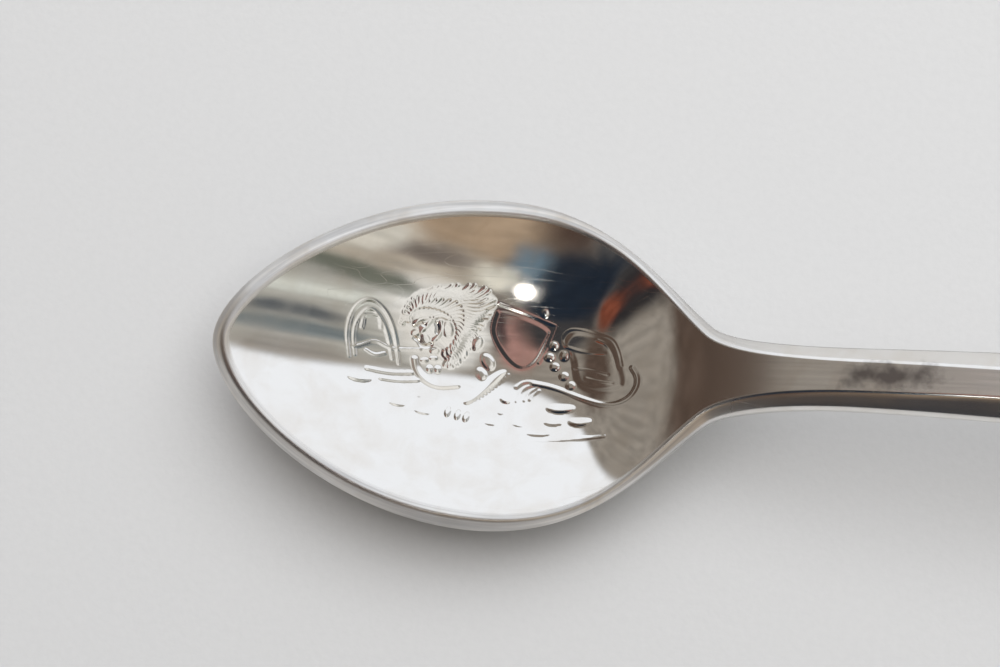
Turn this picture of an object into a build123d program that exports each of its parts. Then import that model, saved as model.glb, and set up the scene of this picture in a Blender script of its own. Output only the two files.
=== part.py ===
from build123d import *
from math import sqrt
import os

# Souvenir demitasse spoon with an enamelled shield crest, in millimetres.
# It lies bowl up on a table: +X runs from the bowl to the crest, +Z is up, and the
# origin is on the table under the middle of the spoon's box.

# Overall sizes
length = 116.0
bowl_width = 25.0
tip = -length / 2
end = length / 2

# Plan of the bowl and the stem, with stations measured from the tip
tip_fullness = 4.46
widest_station = 20.3
widest_lead = 10.9
widest_follow = 8.9
neck_station = 36.8
neck_half_width = 3.62
neck_slope = Vector(3.8, -2.9)
waist_station = 46.5
waist_half_width = 2.31
stem_end_half_width = 3.1

# Shield-shaped pad at the end of the handle
pad_length = 19.0
pad_half_width = 8.3
pad_shoulder = 6.5
pad_corner = 0.9
pad_thickness = 1.45
seat_depth = 0.03
seat_clearance = 0.12

# Side view of the upper edge: (station from the tip, height above the table) up to
# the top of the arch, from where it falls evenly to the pad
edge_heights = [
    (0.0, 8.3),
    (12.0, 7.25),
    (24.0, 6.2),
    (31.0, 6.0),
    (36.3, 7.25),
    (41.6, 9.05),
    (47.1, 10.3),
    (55.0, 11.4),
    (63.0, 11.8),
]
arch_station, arch_height = edge_heights[-1]
rim_pitch = -0.0875

# Thickness of the metal, square to its surface in the bowl
bowl_thickness = 1.1
neck_thickness = 2.0
end_thickness = 1.7
neck_start = 27.0
neck_full = 42.0
end_start = 70.0

# Hollow of the bowl: its depth at the widest station, and where it fades out
bowl_depth = 5.3
hollow_fade_start = 27.0
hollow_fade_end = 40.0

# Bevel along the upper edge, nearly through the metal
bevel_width = 1.1
bevel_height = 0.95

# Crest: a struck plate with cells for enamel, soldered into the pad's seat
crest_margin = 0.75
solder_margin = 0.5
solder_thickness = 0.12
plate_floor = 0.55
wall_height = 0.55
border_width = 0.75
cell_wall = 0.36
enamel_depth = 0.47
plate_edge = 0.2

# Lines of the crest's landscape: (side, distance from the pad's far edge)
ridge = [(-9, 9.4), (-4.4, 5.6), (-1.9, 7.9), (1.7, 3.9), (5.0, 7.6), (9, 6.2)]
snow_line = [
    (-9, 11.2),
    (-5.6, 8.4),
    (-4.2, 9.6),
    (-1.6, 10.4),
    (0.4, 7.4),
    (1.6, 8.4),
    (3.0, 7.3),
    (5.2, 10.0),
    (9, 8.8),
]
shore = [(-9, 13.0), (-2.0, 12.4), (2.5, 13.1), (9, 12.2)]
sun_radius = 1.3
sun_side = -4.0
sun_distance = 3.3

# Grid over which the metal's two surfaces are drawn
margin = 2.0
station_step = 2.0
side_steps = 6
hollow_rate = bowl_depth / (bowl_width / 2) ** 2
tip_radius = 1.5 * tip_fullness**2 / (widest_station - widest_lead)
bowl_half_width = bowl_width / 2
stem_end = length - pad_length + 6.0


def ease(value, start, finish):
    """0 before start, 1 after finish, and a smooth change between them."""
    share = min(max((value - start) / (finish - start), 0.0), 1.0)
    return share * share * (3 - 2 * share)


def point_at(curve, x):
    """The point of a curve at a station, for a curve that always runs towards +X."""
    low = 0.0
    high = 1.0
    for _ in range(30):
        middle = (low + high) / 2
        if curve.position_at(middle).X < x:
            low = middle
        else:
            high = middle
    return curve.position_at(high)


# Half of the plan outline, from the tip to where the stem enters the pad
with BuildLine() as half_plan:
    Bezier(
        (tip, 0),
        (tip, tip_fullness),
        (tip + widest_station - widest_lead, bowl_half_width),
        (tip + widest_station, bowl_half_width),
    )
    Bezier(
        (tip + widest_station, bowl_half_width),
        (tip + widest_station + widest_follow, bowl_half_width),
        (tip + neck_station - neck_slope.X, neck_half_width - neck_slope.Y),
        (tip + neck_station, neck_half_width),
    )
    Bezier(
        (tip + neck_station, neck_half_width),
        (tip + neck_station + neck_slope.X * 0.35, neck_half_width + neck_slope.Y * 0.35),
        (tip + waist_station - 3.7, waist_half_width),
        (tip + waist_station, waist_half_width),
    )
    Bezier(
        (tip + waist_station, waist_half_width),
        (tip + waist_station + 6.0, waist_half_width),
        (tip + stem_end - 30.0, stem_end_half_width),
        (tip + stem_end, stem_end_half_width),
    )
half_outline = half_plan.wires()[0]

# Side view of the upper edge, from the tip to the top of the arch
with BuildLine() as side_view:
    Spline(
        [(tip + station, height) for station, height in edge_heights],
        tangents=[(1, rim_pitch), (1, 0)],
    )
upper_edge = side_view.wires()[0]


def shield(inset):
    """The pad's outline, set in by inset: a shield that points to the bowl."""
    far = end - inset
    side = pad_half_width - inset
    shoulder = end - pad_shoulder
    point = end - pad_length + inset * 1.6
    with BuildSketch() as outline:
        with BuildLine():
            Line((point, 0), (far, 0))
            Line((far, 0), (far, side - pad_corner))
            Line((far, side - pad_corner), (far - pad_corner, side))
            Line((far - pad_corner, side), (shoulder, side))
            Bezier((shoulder, side), (shoulder - 6.5, side), (point + 2.4, 3.4), (point, 0))
        make_face()
        mirror(about=Plane.XZ)
    return outline.sketch


def crest_line(points):
    """A line of the landscape, from (side, distance from the far edge) pairs."""
    with BuildLine() as drawn:
        Polyline([(end - distance, side) for side, distance in points])
    return drawn.line


def edge_height(x):
    station = x - tip
    if station <= 0:
        return edge_heights[0][1] + rim_pitch * station
    if station < arch_station:
        return point_at(upper_edge, x).Y
    fall = ease(station, arch_station, length - pad_length + crest_margin)
    return arch_height + (pad_thickness + seat_depth - arch_height) * fall


def hollow_fade(x):
    """1 in the bowl, falling to 0 on the stem, whose upper side is flat across."""
    return 1 - ease(x - tip, hollow_fade_start, hollow_fade_end)


def upper_row(x):
    """Points across the upper surface at a station: a parabola between level edges."""
    station = x - tip
    fade = hollow_fade(x)
    if station > 0:
        sag = fade * point_at(half_outline, min(x, tip + waist_station)).Y ** 2
    else:
        sag = 2 * tip_radius * station
    middle = edge_height(x) - hollow_rate * sag
    return [Vector(x, y, middle + hollow_rate * fade * y**2) for y in sides]


def lower_point(point):
    """The point of the lower surface right under one of the upper surface."""
    station = point.X - tip
    at_neck = ease(station, neck_start, neck_full) * (neck_thickness - bowl_thickness)
    at_end = ease(station, end_start, length) * (end_thickness - neck_thickness)
    slope = 2 * hollow_rate * hollow_fade(point.X) * point.Y
    return point - Vector(0, 0, (bowl_thickness + at_neck + at_end) * sqrt(1 + slope**2))


station_count = int((length + 2 * margin) / station_step) + 1
stations = [tip - margin + station_step * step for step in range(station_count)]
sides = [(bowl_half_width + margin) * step / side_steps for step in range(-side_steps, side_steps + 1)]
upper_points = [upper_row(x) for x in stations]
lower_points = [[lower_point(point) for point in row] for row in upper_points]
upper_skin = Face.make_surface_from_array_of_points(upper_points, tol=0.005, min_deg=3, max_deg=6)
lower_skin = Face.make_surface_from_array_of_points(lower_points, tol=0.005, min_deg=3, max_deg=6)

# One stamped blank: bowl, stem and pad. The plan is cut between the two skins, the
# upper edge is bevelled, and the pad's seat and the underside are ground flat.
with BuildPart() as spoon_body:
    with BuildSketch(Plane.XY.offset(-margin)):
        with BuildLine():
            add(half_outline)
            Line((tip + stem_end, stem_end_half_width), (tip + stem_end, 0))
            Line((tip + stem_end, 0), (tip, 0))
        make_face()
        mirror(about=Plane.XZ)
        add(shield(0))
    extrude(amount=arch_height + 2 * margin)
    split(bisect_by=upper_skin, keep=Keep.BOTTOM)
    split(bisect_by=lower_skin, keep=Keep.TOP)
    upper_side = spoon_body.faces().filter_by(GeomType.BSPLINE).sort_by(Axis.Z)[-1]
    rim_edges = upper_side.edges().filter_by_position(Axis.X, tip - margin, end - pad_length)
    chamfer(rim_edges, length=bevel_width, length2=bevel_height, reference=upper_side)
    with BuildSketch(Plane.XY.offset(pad_thickness)):
        add(shield(crest_margin - seat_clearance))
    extrude(amount=margin, mode=Mode.SUBTRACT)
    split(bisect_by=Plane.XY, keep=Keep.TOP)

# Thin film of solder between the pad and the crest
with BuildPart() as crest_solder:
    with BuildSketch(Plane.XY.offset(pad_thickness)):
        add(shield(crest_margin + solder_margin))
    extrude(amount=solder_thickness)

# The enamel cells: the crest's field, parted by thin walls
plate_bottom = pad_thickness + solder_thickness
cell_bottom = plate_bottom + plate_floor
with BuildSketch() as cells:
    add(shield(crest_margin + border_width))
    for line in (ridge, snow_line, shore):
        trace(crest_line(line), line_width=cell_wall, mode=Mode.SUBTRACT)
    with Locations((end - sun_distance, sun_side)):
        Circle(sun_radius + cell_wall, mode=Mode.SUBTRACT)
        Circle(sun_radius)
fields = cells.faces().sort_by(Axis.X)
sun_field = cells.faces().sort_by(SortBy.AREA)[0]
lake_field, meadow_field, peaks_field, sky_field = [field for field in fields if field != sun_field]

with BuildPart() as crest_plate:
    with BuildSketch(Plane.XY.offset(plate_bottom)):
        add(shield(crest_margin))
    extrude(amount=plate_floor + wall_height)
    chamfer(crest_plate.faces().sort_by(Axis.Z)[-1].outer_wire().edges(), length=plate_edge)
    with BuildSketch(Plane.XY.offset(cell_bottom)):
        add(cells.sketch)
    extrude(amount=wall_height, mode=Mode.SUBTRACT)


def enamel(field):
    """Enamel that fills one cell of the crest, a little below its walls."""
    with BuildPart() as fill:
        with BuildSketch(Plane.XY.offset(cell_bottom)):
            add(field)
        extrude(amount=enamel_depth)
    return fill


enamel_sky = enamel(sky_field)
enamel_sun = enamel(sun_field)
enamel_peaks = enamel(peaks_field)
enamel_meadow = enamel(meadow_field)
enamel_lake = enamel(lake_field)

spoon_body.part.label = "spoon_body"
crest_solder.part.label = "crest_solder"
crest_plate.part.label = "crest_plate"
enamel_sky.part.label = "enamel_sky"
enamel_sun.part.label = "enamel_sun"
enamel_peaks.part.label = "enamel_peaks"
enamel_meadow.part.label = "enamel_meadow"
enamel_lake.part.label = "enamel_lake"

os.makedirs("parts", exist_ok=True)
export_step(spoon_body.part, "parts/spoon_body.step")
export_step(crest_solder.part, "parts/crest_solder.step")
export_step(crest_plate.part, "parts/crest_plate.step")
export_step(enamel_sky.part, "parts/enamel_sky.step")
export_step(enamel_sun.part, "parts/enamel_sun.step")
export_step(enamel_peaks.part, "parts/enamel_peaks.step")
export_step(enamel_meadow.part, "parts/enamel_meadow.step")
export_step(enamel_lake.part, "parts/enamel_lake.step")
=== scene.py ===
import math

import bpy
import numpy as np
from mathutils import Matrix, Vector


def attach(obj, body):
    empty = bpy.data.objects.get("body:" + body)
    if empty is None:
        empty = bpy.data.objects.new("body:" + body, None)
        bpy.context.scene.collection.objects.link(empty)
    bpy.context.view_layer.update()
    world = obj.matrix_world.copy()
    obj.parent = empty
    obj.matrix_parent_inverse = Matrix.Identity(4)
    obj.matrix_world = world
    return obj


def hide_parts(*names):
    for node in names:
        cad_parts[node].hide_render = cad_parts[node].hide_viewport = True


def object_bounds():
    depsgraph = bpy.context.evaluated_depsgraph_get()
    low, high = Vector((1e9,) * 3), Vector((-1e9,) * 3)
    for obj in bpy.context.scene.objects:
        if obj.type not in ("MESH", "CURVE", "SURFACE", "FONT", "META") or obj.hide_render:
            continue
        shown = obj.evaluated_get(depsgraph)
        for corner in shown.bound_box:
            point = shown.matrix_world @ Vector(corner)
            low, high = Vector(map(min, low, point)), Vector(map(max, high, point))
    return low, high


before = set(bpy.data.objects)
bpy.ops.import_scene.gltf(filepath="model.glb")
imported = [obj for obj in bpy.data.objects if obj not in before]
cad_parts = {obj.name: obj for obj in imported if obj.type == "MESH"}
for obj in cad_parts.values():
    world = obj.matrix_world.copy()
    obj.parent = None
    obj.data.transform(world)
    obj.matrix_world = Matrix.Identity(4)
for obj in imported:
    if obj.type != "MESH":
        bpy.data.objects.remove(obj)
cad_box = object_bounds()

# The spoon's shapes are worked out in millimetres, and MM turns them into Blender's metres.
# A station is a distance from the bowl's tip along +X; a side is a distance along +Y.
MM = 0.001
TIP = cad_box[0].x / MM
END = cad_box[1].x / MM
LENGTH = END - TIP
HALF_WIDTH = cad_box[1].y / MM

# ---------------------------------------------------------------- the metal's own shape

# Plan of the bowl, the stem and the pad
TIP_FULLNESS = 4.46
WIDEST = 20.3
WIDEST_LEAD = 10.9
WIDEST_FOLLOW = 8.9
NECK = (36.8, 3.62)
NECK_RUN = (3.8, -2.9)
NECK_FOLLOW = 0.35
WAIST = (46.5, 2.31)
WAIST_LEAD = 3.7
STEM_END = 103.0
STEM_END_HALF = 3.1
STEM_FLARE = (6.0, 30.0)
PAD_LENGTH = 19.0
PAD_HALF = 8.3
PAD_SHOULDER = 6.5
PAD_CORNER = 0.9
PAD_NOSE = (2.4, 3.4)
PAD_CHEEK = 6.5
PAD_TOP = 1.45
# The hollow corner between the stem and the pad: where it starts past the pad's point, how
# far outside the stem it ends, and how its two ends are pulled
CORNER_START = 0.2
CORNER_RISE = 1.3
CORNER_PULLS = ((1.2, 0.02), (0.55, 0.62))

# Side view of the upper edge: (station, height above the table)
EDGE_HEIGHTS = [
    (0.0, 8.3),
    (12.0, 7.25),
    (24.0, 6.2),
    (31.0, 6.0),
    (36.3, 7.25),
    (41.6, 9.05),
    (47.1, 10.3),
    (55.0, 11.4),
    (63.0, 11.8),
]
RIM_PITCH = 0.0875
EDGE_SLOPES = (-RIM_PITCH, 0.0)
CREST_MARGIN = 0.75
FALL_END = LENGTH - PAD_LENGTH + CREST_MARGIN
HOLLOW_DEPTH = 5.3
HOLLOW_RATE = HOLLOW_DEPTH / HALF_WIDTH**2
HOLLOW_FADE = (27.0, 40.0)
TIP_RADIUS = 1.5 * TIP_FULLNESS**2 / (WIDEST - WIDEST_LEAD)


def ease(value, start, finish):
    """0 before start, 1 after finish, and a smooth change between them."""
    share = np.clip((value - start) / (finish - start), 0, 1)
    return share * share * (3 - 2 * share)


def soft_ease(value, start, finish):
    """As ease, with no jump in curvature, for surfaces that mirror their surroundings."""
    share = np.clip((value - start) / (finish - start), 0, 1)
    return share**3 * (share * (6 * share - 15) + 10)


def bezier(a, b, c, d, count):
    """Points along the cubic curve from a to d, which b and c pull at."""
    t = np.linspace(0, 1, count)[:, None]
    a, b, c, d = (np.array(p, float) for p in (a, b, c, d))
    return (1 - t) ** 3 * a + 3 * (1 - t) ** 2 * t * b + 3 * (1 - t) * t**2 * c + t**3 * d


def cubic_spline(knots, slopes):
    """A function through the knots with no jump in curvature, and these slopes at its ends."""
    x, z = (np.array(values) for values in zip(*knots))
    gap = np.diff(x)
    rise = np.diff(z) / gap
    size = len(x)
    matrix = np.zeros((size, size))
    target = np.zeros(size)
    matrix[0, 0] = matrix[-1, -1] = 1
    target[0], target[-1] = slopes
    for i in range(1, size - 1):
        matrix[i, i - 1 : i + 2] = gap[i], 2 * (gap[i - 1] + gap[i]), gap[i - 1]
        target[i] = 3 * (gap[i] * rise[i - 1] + gap[i - 1] * rise[i])
    slope = np.linalg.solve(matrix, target)

    def height(at):
        i = np.clip(np.searchsorted(x, at) - 1, 0, size - 2)
        t = (at - x[i]) / gap[i]
        start = z[i] * (1 + 2 * t) * (1 - t) ** 2 + gap[i] * slope[i] * t * (1 - t) ** 2
        return start + z[i + 1] * t * t * (3 - 2 * t) + gap[i] * slope[i + 1] * t * t * (t - 1)

    return height


rising_edge = cubic_spline(EDGE_HEIGHTS, EDGE_SLOPES)
ARCH, ARCH_HEIGHT = EDGE_HEIGHTS[-1]


def half_outline():
    """The plan's +Y half, from the tip to the pad's far corner, as close points."""
    shoulder = LENGTH - PAD_SHOULDER
    point = LENGTH - PAD_LENGTH
    bowl = [
        bezier(
            (0, 0),
            (0, TIP_FULLNESS),
            (WIDEST - WIDEST_LEAD, HALF_WIDTH),
            (WIDEST, HALF_WIDTH),
            400,
        ),
        bezier(
            (WIDEST, HALF_WIDTH),
            (WIDEST + WIDEST_FOLLOW, HALF_WIDTH),
            (NECK[0] - NECK_RUN[0], NECK[1] - NECK_RUN[1]),
            NECK,
            300,
        ),
        bezier(
            NECK,
            (NECK[0] + NECK_RUN[0] * NECK_FOLLOW, NECK[1] + NECK_RUN[1] * NECK_FOLLOW),
            (WAIST[0] - WAIST_LEAD, WAIST[1]),
            WAIST,
            200,
        ),
    ]
    stem = bezier(
        WAIST,
        (WAIST[0] + STEM_FLARE[0], WAIST[1]),
        (STEM_END - STEM_FLARE[1], STEM_END_HALF),
        (STEM_END, STEM_END_HALF),
        400,
    )
    side = bezier(
        (point, 0),
        (point + PAD_NOSE[0], PAD_NOSE[1]),
        (shoulder - PAD_CHEEK, PAD_HALF),
        (shoulder, PAD_HALF),
        300,
    )
    stem = stem[stem[:, 0] < point + CORNER_START]
    side = side[side[:, 1] > STEM_END_HALF + CORNER_RISE]
    start, finish = stem[-1], side[0]
    joint = bezier(start, start + CORNER_PULLS[0], finish - CORNER_PULLS[1], finish, 60)
    turn = np.linspace(0, math.pi / 2, 30)[:, None]
    corner = np.array([LENGTH - PAD_CORNER, PAD_HALF - PAD_CORNER])
    corner = corner + PAD_CORNER * np.hstack([np.sin(turn), np.cos(turn)])
    parts = bowl + [stem, joint, side, corner]
    line = np.vstack([parts[0]] + [part[1:] for part in parts[1:]])
    length = np.append(0, np.cumsum(np.hypot(*np.diff(line, axis=0).T)))
    even = np.linspace(0, length[-1], 6000)
    return np.column_stack([np.interp(even, length, line[:, k]) for k in (0, 1)])


OUTLINE = half_outline()
BOWL_PART = OUTLINE[OUTLINE[:, 0] <= WAIST[0]]


def hollow_fade(station):
    """1 in the bowl, falling to 0 on the stem, whose upper side is flat across."""
    return 1 - soft_ease(station, *HOLLOW_FADE)


def edge_height(station):
    """Height of the upper surface's edges above the table."""
    fall = ARCH_HEIGHT + (PAD_TOP - ARCH_HEIGHT) * ease(station, ARCH, FALL_END)
    return np.where(station < ARCH, rising_edge(station), fall)


def smooth_top(station, side):
    """The upper surface before its edges are bevelled: a parabola between level edges."""
    width = np.interp(station, BOWL_PART[:, 0], BOWL_PART[:, 1])
    near_tip = 2 * TIP_RADIUS * station
    sag = np.where(station > 0.05, width**2, near_tip)
    return edge_height(station) - HOLLOW_RATE * hollow_fade(station) * (sag - side**2)


# Thickness of the metal in the bowl, at the neck and at the far end
METAL_THICKNESS = (1.1, 2.0, 1.45)
NECK_THICKENS = (27.0, 42.0)
END_THINS = (70.0, 97.0)


def smooth_bottom(station, side):
    """The lower surface: the metal's thickness below the upper one, square to it."""
    bowl, neck, end = METAL_THICKNESS
    thickness = bowl + (neck - bowl) * ease(station, *NECK_THICKENS)
    thickness = thickness + (end - neck) * ease(station, *END_THINS)
    step = 0.02
    along = (smooth_top(station + step, side) - smooth_top(station - step, side)) / (2 * step)
    across = (smooth_top(station, side + step) - smooth_top(station, side - step)) / (2 * step)
    return np.maximum(smooth_top(station, side) - thickness * np.sqrt(1 + along**2 + across**2), 0)


# Bevel along the upper edge: (station, width in plan, drop, softness of its inner edge)
BEVEL = [
    (0.0, 1.0, 0.65, 0.4),
    (20.0, 1.05, 0.7, 0.4),
    (30.0, 0.55, 0.45, 0.3),
    (35.0, 0.6, 0.6, 0.25),
    (40.0, 1.0, 1.0, 0.2),
    (50.0, 1.2, 1.2, 0.15),
    (58.0, 1.45, 1.4, 0.15),
    (90.0, 1.55, 1.2, 0.15),
    (98.0, 0.4, 0.35, 0.15),
    (LENGTH, 0.3, 0.3, 0.12),
]
BEVEL_BLEND = 3.5
# The bowl's -Y bevel is narrower and steeper than its +Y one, by these shares
STEEP_WIDTH = 0.26
STEEP_DROP = 0.45
STEEP_BLEND = 5.0
STEEP_FADE = (28.0, 36.0)


def bevel_at(station):
    """The bevel's width, drop and softness, blended over some millimetres."""
    stations, *values = zip(*BEVEL)
    shifts = BEVEL_BLEND * np.linspace(-1, 1, 13)
    weights = 1 + np.cos(math.pi * shifts / BEVEL_BLEND)
    near = [[np.interp(station + shift, stations, value) for shift in shifts] for value in values]
    return [np.tensordot(weights / weights.sum(), value, 1) for value in near]


def bevelled(top, facet, softness):
    """The lower of two surfaces, with the edge between them rounded."""
    share = np.clip(0.5 + 0.5 * (facet - top) / softness, 0, 1)
    return facet * (1 - share) + top * share - softness * share * (1 - share)


# ---------------------------------------------------------------- the picture in the bowl
# All points are (station, side) in millimetres. Masses are raised areas with soft edges,
# strokes are raised lines, domes are small raised ovals, and ledges are ovals that rise
# slowly and drop at their near side.

NICHE = [
    [(9.8, 0.2), (9.4, 2.2), (9.8, 3.9), (10.9, 4.8), (12.1, 4.1), (12.9, 2.6), (13.4, 0.2)],
    [(10.2, 0.4), (9.9, 2.2), (10.3, 3.4), (11.0, 4.1), (11.8, 3.5), (12.4, 2.3), (12.9, 0.5)],
    [(10.0, 0.95), (10.6, 1.2), (11.5, 1.75), (12.3, 1.4), (12.9, 1.25), (14.8, 1.5)],
    [(10.5, 2.5), (10.55, 3.3), (10.7, 3.45), (11.6, 3.6), (11.75, 3.4), (11.9, 2.7)],
    [(10.9, 0.9), (11.6, 0.55), (12.3, 0.85)],
]
GROUND = [
    [(11.2, -0.5), (12.8, -0.6), (14.4, -0.35)],
    [(12.2, -1.1), (13.6, -1.1), (14.9, -0.85)],
    [(12.7, -5.3), (15.0, -5.25), (18.0, -5.1), (21.8, -4.9), (25.5, -4.6), (29.3, -4.2)],
]
COLLAR = [(14.5, 0.7), (14.7, -0.1), (15.4, -0.8), (16.4, -1.15), (17.8, -0.85)]
HEAD = [
    (13.3, 3.4), (13.4, 4.6), (14.1, 5.6), (15.2, 6.3), (16.4, 6.6), (17.6, 6.6), (18.9, 6.8),
    (20.2, 6.3), (20.6, 5.4), (19.9, 4.3), (19.2, 3.4), (18.6, 2.4), (18.3, 1.3), (17.7, 0.4),
    (16.8, 0.3), (16.3, 1.0), (15.6, 1.4), (15.0, 1.9), (14.3, 2.2), (13.9, 2.7),
]
HAIRLINE = [
    (13.9, 3.5), (14.1, 4.1), (14.7, 4.55), (15.7, 4.7), (16.6, 4.5), (17.2, 3.9), (17.4, 3.1),
    (17.2, 2.3), (16.8, 1.7), (16.3, 1.3),
]
MANE_EDGE = [
    (13.2, 3.3), (13.4, 4.6), (14.3, 5.8), (15.9, 6.45), (17.6, 6.7), (19.3, 6.8), (20.4, 6.1),
    (20.3, 5.0), (19.5, 3.8), (18.8, 2.6), (18.4, 1.4), (17.7, 0.5), (16.9, 0.3),
]
BROW = [
    [(14.3, 3.3), (14.7, 3.75), (15.3, 3.85)],
    [(15.7, 3.95), (16.2, 4.15), (16.8, 3.95)],
]
MUZZLE = [
    [(15.5, 3.75), (15.1, 3.2), (14.75, 2.75)],
    [(16.2, 3.7), (16.35, 3.2), (16.1, 2.6), (15.7, 2.2)],
]
# Sunken lines: eyes, nostril and mouth
FURROWS = [
    [(14.55, 3.2), (14.8, 3.4), (15.05, 3.3)],
    [(15.85, 3.55), (16.0, 3.2), (15.95, 2.9)],
    [(14.35, 2.3), (14.6, 2.2), (14.85, 1.8), (15.25, 1.75), (15.55, 1.95)],
]
FLANK = [
    (20.3, 5.5), (24.8, 4.15), (24.3, 2.8), (23.7, 1.3), (22.5, 0.5), (21.2, 1.2), (19.8, 3.1),
    (19.9, 4.4),
]
FLANK_RIM = [
    [(20.4, 5.5), (22.6, 4.95), (24.8, 4.2)],
    [(24.75, 4.1), (24.3, 2.7), (23.7, 1.4)],
]
HAUNCH = [
    (25.2, 3.2), (25.9, 4.1), (27.2, 4.1), (28.4, 3.7), (29.5, 3.2), (30.2, 1.5), (30.8, -0.3),
    (30.0, -0.9), (28.0, -0.9), (26.6, -0.4), (26.2, 0.6), (26.0, 1.8), (25.3, 2.5),
]
HAUNCH_LINES = [
    [(25.5, 2.8), (25.3, 3.5), (25.9, 4.05), (27.0, 3.95), (28.1, 3.6)],
    [(25.6, 2.7), (27.0, 2.3), (28.7, 2.2)],
    [(26.4, 1.1), (27.8, 0.95), (29.1, 0.6)],
    [(27.4, 0.35), (28.4, 0.1), (29.5, -0.1)],
    [(28.1, 3.6), (29.2, 3.3), (29.8, 2.3), (30.1, 1.2)],
    [(28.0, 3.2), (28.8, 2.9), (29.4, 2.0), (29.7, 1.0)],
]
TAIL = [
    (30.9, 1.0), (31.4, 0.3), (31.4, -0.6), (30.7, -1.5), (29.2, -1.8), (27.2, -1.2), (25.0, -0.4),
    (23.4, -0.2),
]
TUFT = [
    [(23.6, -0.3), (22.9, -0.5), (22.5, -1.0), (22.3, -1.7)],
    [(23.8, -0.5), (23.2, -0.9), (22.9, -1.6)],
    [(23.5, -0.1), (22.7, -0.1), (22.2, -0.6)],
    [(23.9, -0.7), (23.5, -1.1), (23.3, -1.5)],
]
FORELEG = [(21.8, 0.6), (20.8, 0.9), (19.1, -0.9), (18.0, -2.1), (18.6, -2.6), (19.6, -2.0)]
# Beads along the foreleg's edge: its ends, how many, and each one's half length, half width,
# turn and height
LEG_EDGE = ((21.5, 0.3), (19.0, -2.4))
LEG_BEADS = 13
BEAD = (0.19, 0.14, 45, 0.03)
# Small ovals: (station, side, half length, half width, turn in degrees, height)
DOMES = [
    (14.35, 2.65, 0.36, 0.3, 20, 0.1),
    (15.2, 2.3, 0.55, 0.34, -50, 0.1),
    (16.75, 3.2, 0.45, 0.7, 10, 0.1),
    (15.9, 1.5, 0.42, 0.3, 15, 0.1),
    (19.0, 2.45, 0.42, 0.62, -20, 0.13),
    (19.9, 1.15, 0.75, 0.5, -55, 0.14),
    (19.5, 0.2, 0.55, 0.4, -55, 0.1),
    (15.2, 0.72, 0.34, 0.2, 20, 0.1),
    (15.85, 0.95, 0.34, 0.2, 15, 0.1),
    (15.65, 0.12, 0.24, 0.3, 0, 0.1),
    (16.25, 0.16, 0.24, 0.3, 0, 0.1),
    (17.35, -3.0, 0.5, 0.26, 80, 0.25),
    (18.1, -3.15, 0.5, 0.26, 78, 0.25),
    (18.75, -3.25, 0.5, 0.28, 74, 0.25),
    (23.9, 5.05, 0.28, 0.36, 0, 0.12),
    (24.75, 2.7, 0.36, 0.36, 0, 0.15),
    (25.6, 2.0, 0.36, 0.42, 0, 0.15),
    (24.5, 1.85, 0.4, 0.34, 0, 0.15),
    (24.95, 1.15, 0.4, 0.34, 0, 0.15),
    (25.7, 0.45, 0.4, 0.36, 20, 0.15),
    (26.3, -0.25, 0.4, 0.36, 20, 0.15),
    (21.3, -2.6, 0.4, 0.3, 20, 0.09),
]
LEDGES = [
    (10.7, -1.25, 0.95, 0.36, 0, 0.09),
    (11.2, -2.9, 0.5, 0.2, 0, 0.035),
    (12.7, -3.6, 0.6, 0.28, 0, 0.04),
    (13.6, -2.75, 0.85, 0.36, -5, 0.07),
    (15.5, -3.1, 0.95, 0.4, -8, 0.07),
    (15.1, -1.95, 0.4, 0.2, 0, 0.03),
    (20.6, -3.5, 0.75, 0.28, -5, 0.06),
    (21.5, -1.6, 0.45, 0.3, -15, 0.09),
    (22.7, -3.4, 0.8, 0.32, -5, 0.05),
    (25.7, -2.0, 1.15, 0.42, 3, 0.13),
    (27.3, -3.0, 0.95, 0.42, 5, 0.12),
    (25.3, -3.15, 0.85, 0.3, 3, 0.08),
    (24.3, -4.0, 1.3, 0.38, 3, 0.08),
]
MANE_LOCKS = 44
LOCK_STEPS = 9
# How far the locks' roots and ends slide along their lines, as shares of those
ROOT_SLIDE = 0.06
END_SLIDE = 0.12
# Shares of a lock's way where it starts, for even and odd locks, and where it ends
LOCK_STARTS = (0.36, 0.02)
LOCK_ENDS = (0.93, 0.81, 0.93)
# A lock waves across its way: height and rate of its ripples, height of its one swing, and
# how far each lock is shifted from the one before
RIPPLE = 0.13
RIPPLE_RATE = 10
SWING = 0.4
LOCK_SHIFT = 0.22
# A dome's share of its given height. A ledge rises from 0 at LEDGE_FOOT, in half widths
# across it, towards its near side, up to the share LEDGE_MOST.
DOME_SHARE = 0.5
LEDGE_FOOT = 0.6
LEDGE_MOST = 1.5


def rounded(points, closed=False):
    """Corner cutting, which turns a few points into a smooth line."""
    line = np.array(points, float)
    for _ in range(3):
        following = np.roll(line, -1, axis=0) if closed else line[1:]
        before = line if closed else line[:-1]
        cut = np.empty((2 * len(before), 2))
        cut[0::2] = 0.75 * before + 0.25 * following
        cut[1::2] = 0.25 * before + 0.75 * following
        line = cut if closed else np.vstack([line[:1], cut, line[-1:]])
    return line


def along(points, share):
    """The point at a share of a line's length."""
    line = rounded(points)
    length = np.append(0, np.cumsum(np.hypot(*np.diff(line, axis=0).T)))
    reach = np.clip(share, 0, 1) * length[-1]
    return np.array([np.interp(reach, length, line[:, k]) for k in (0, 1)])


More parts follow.
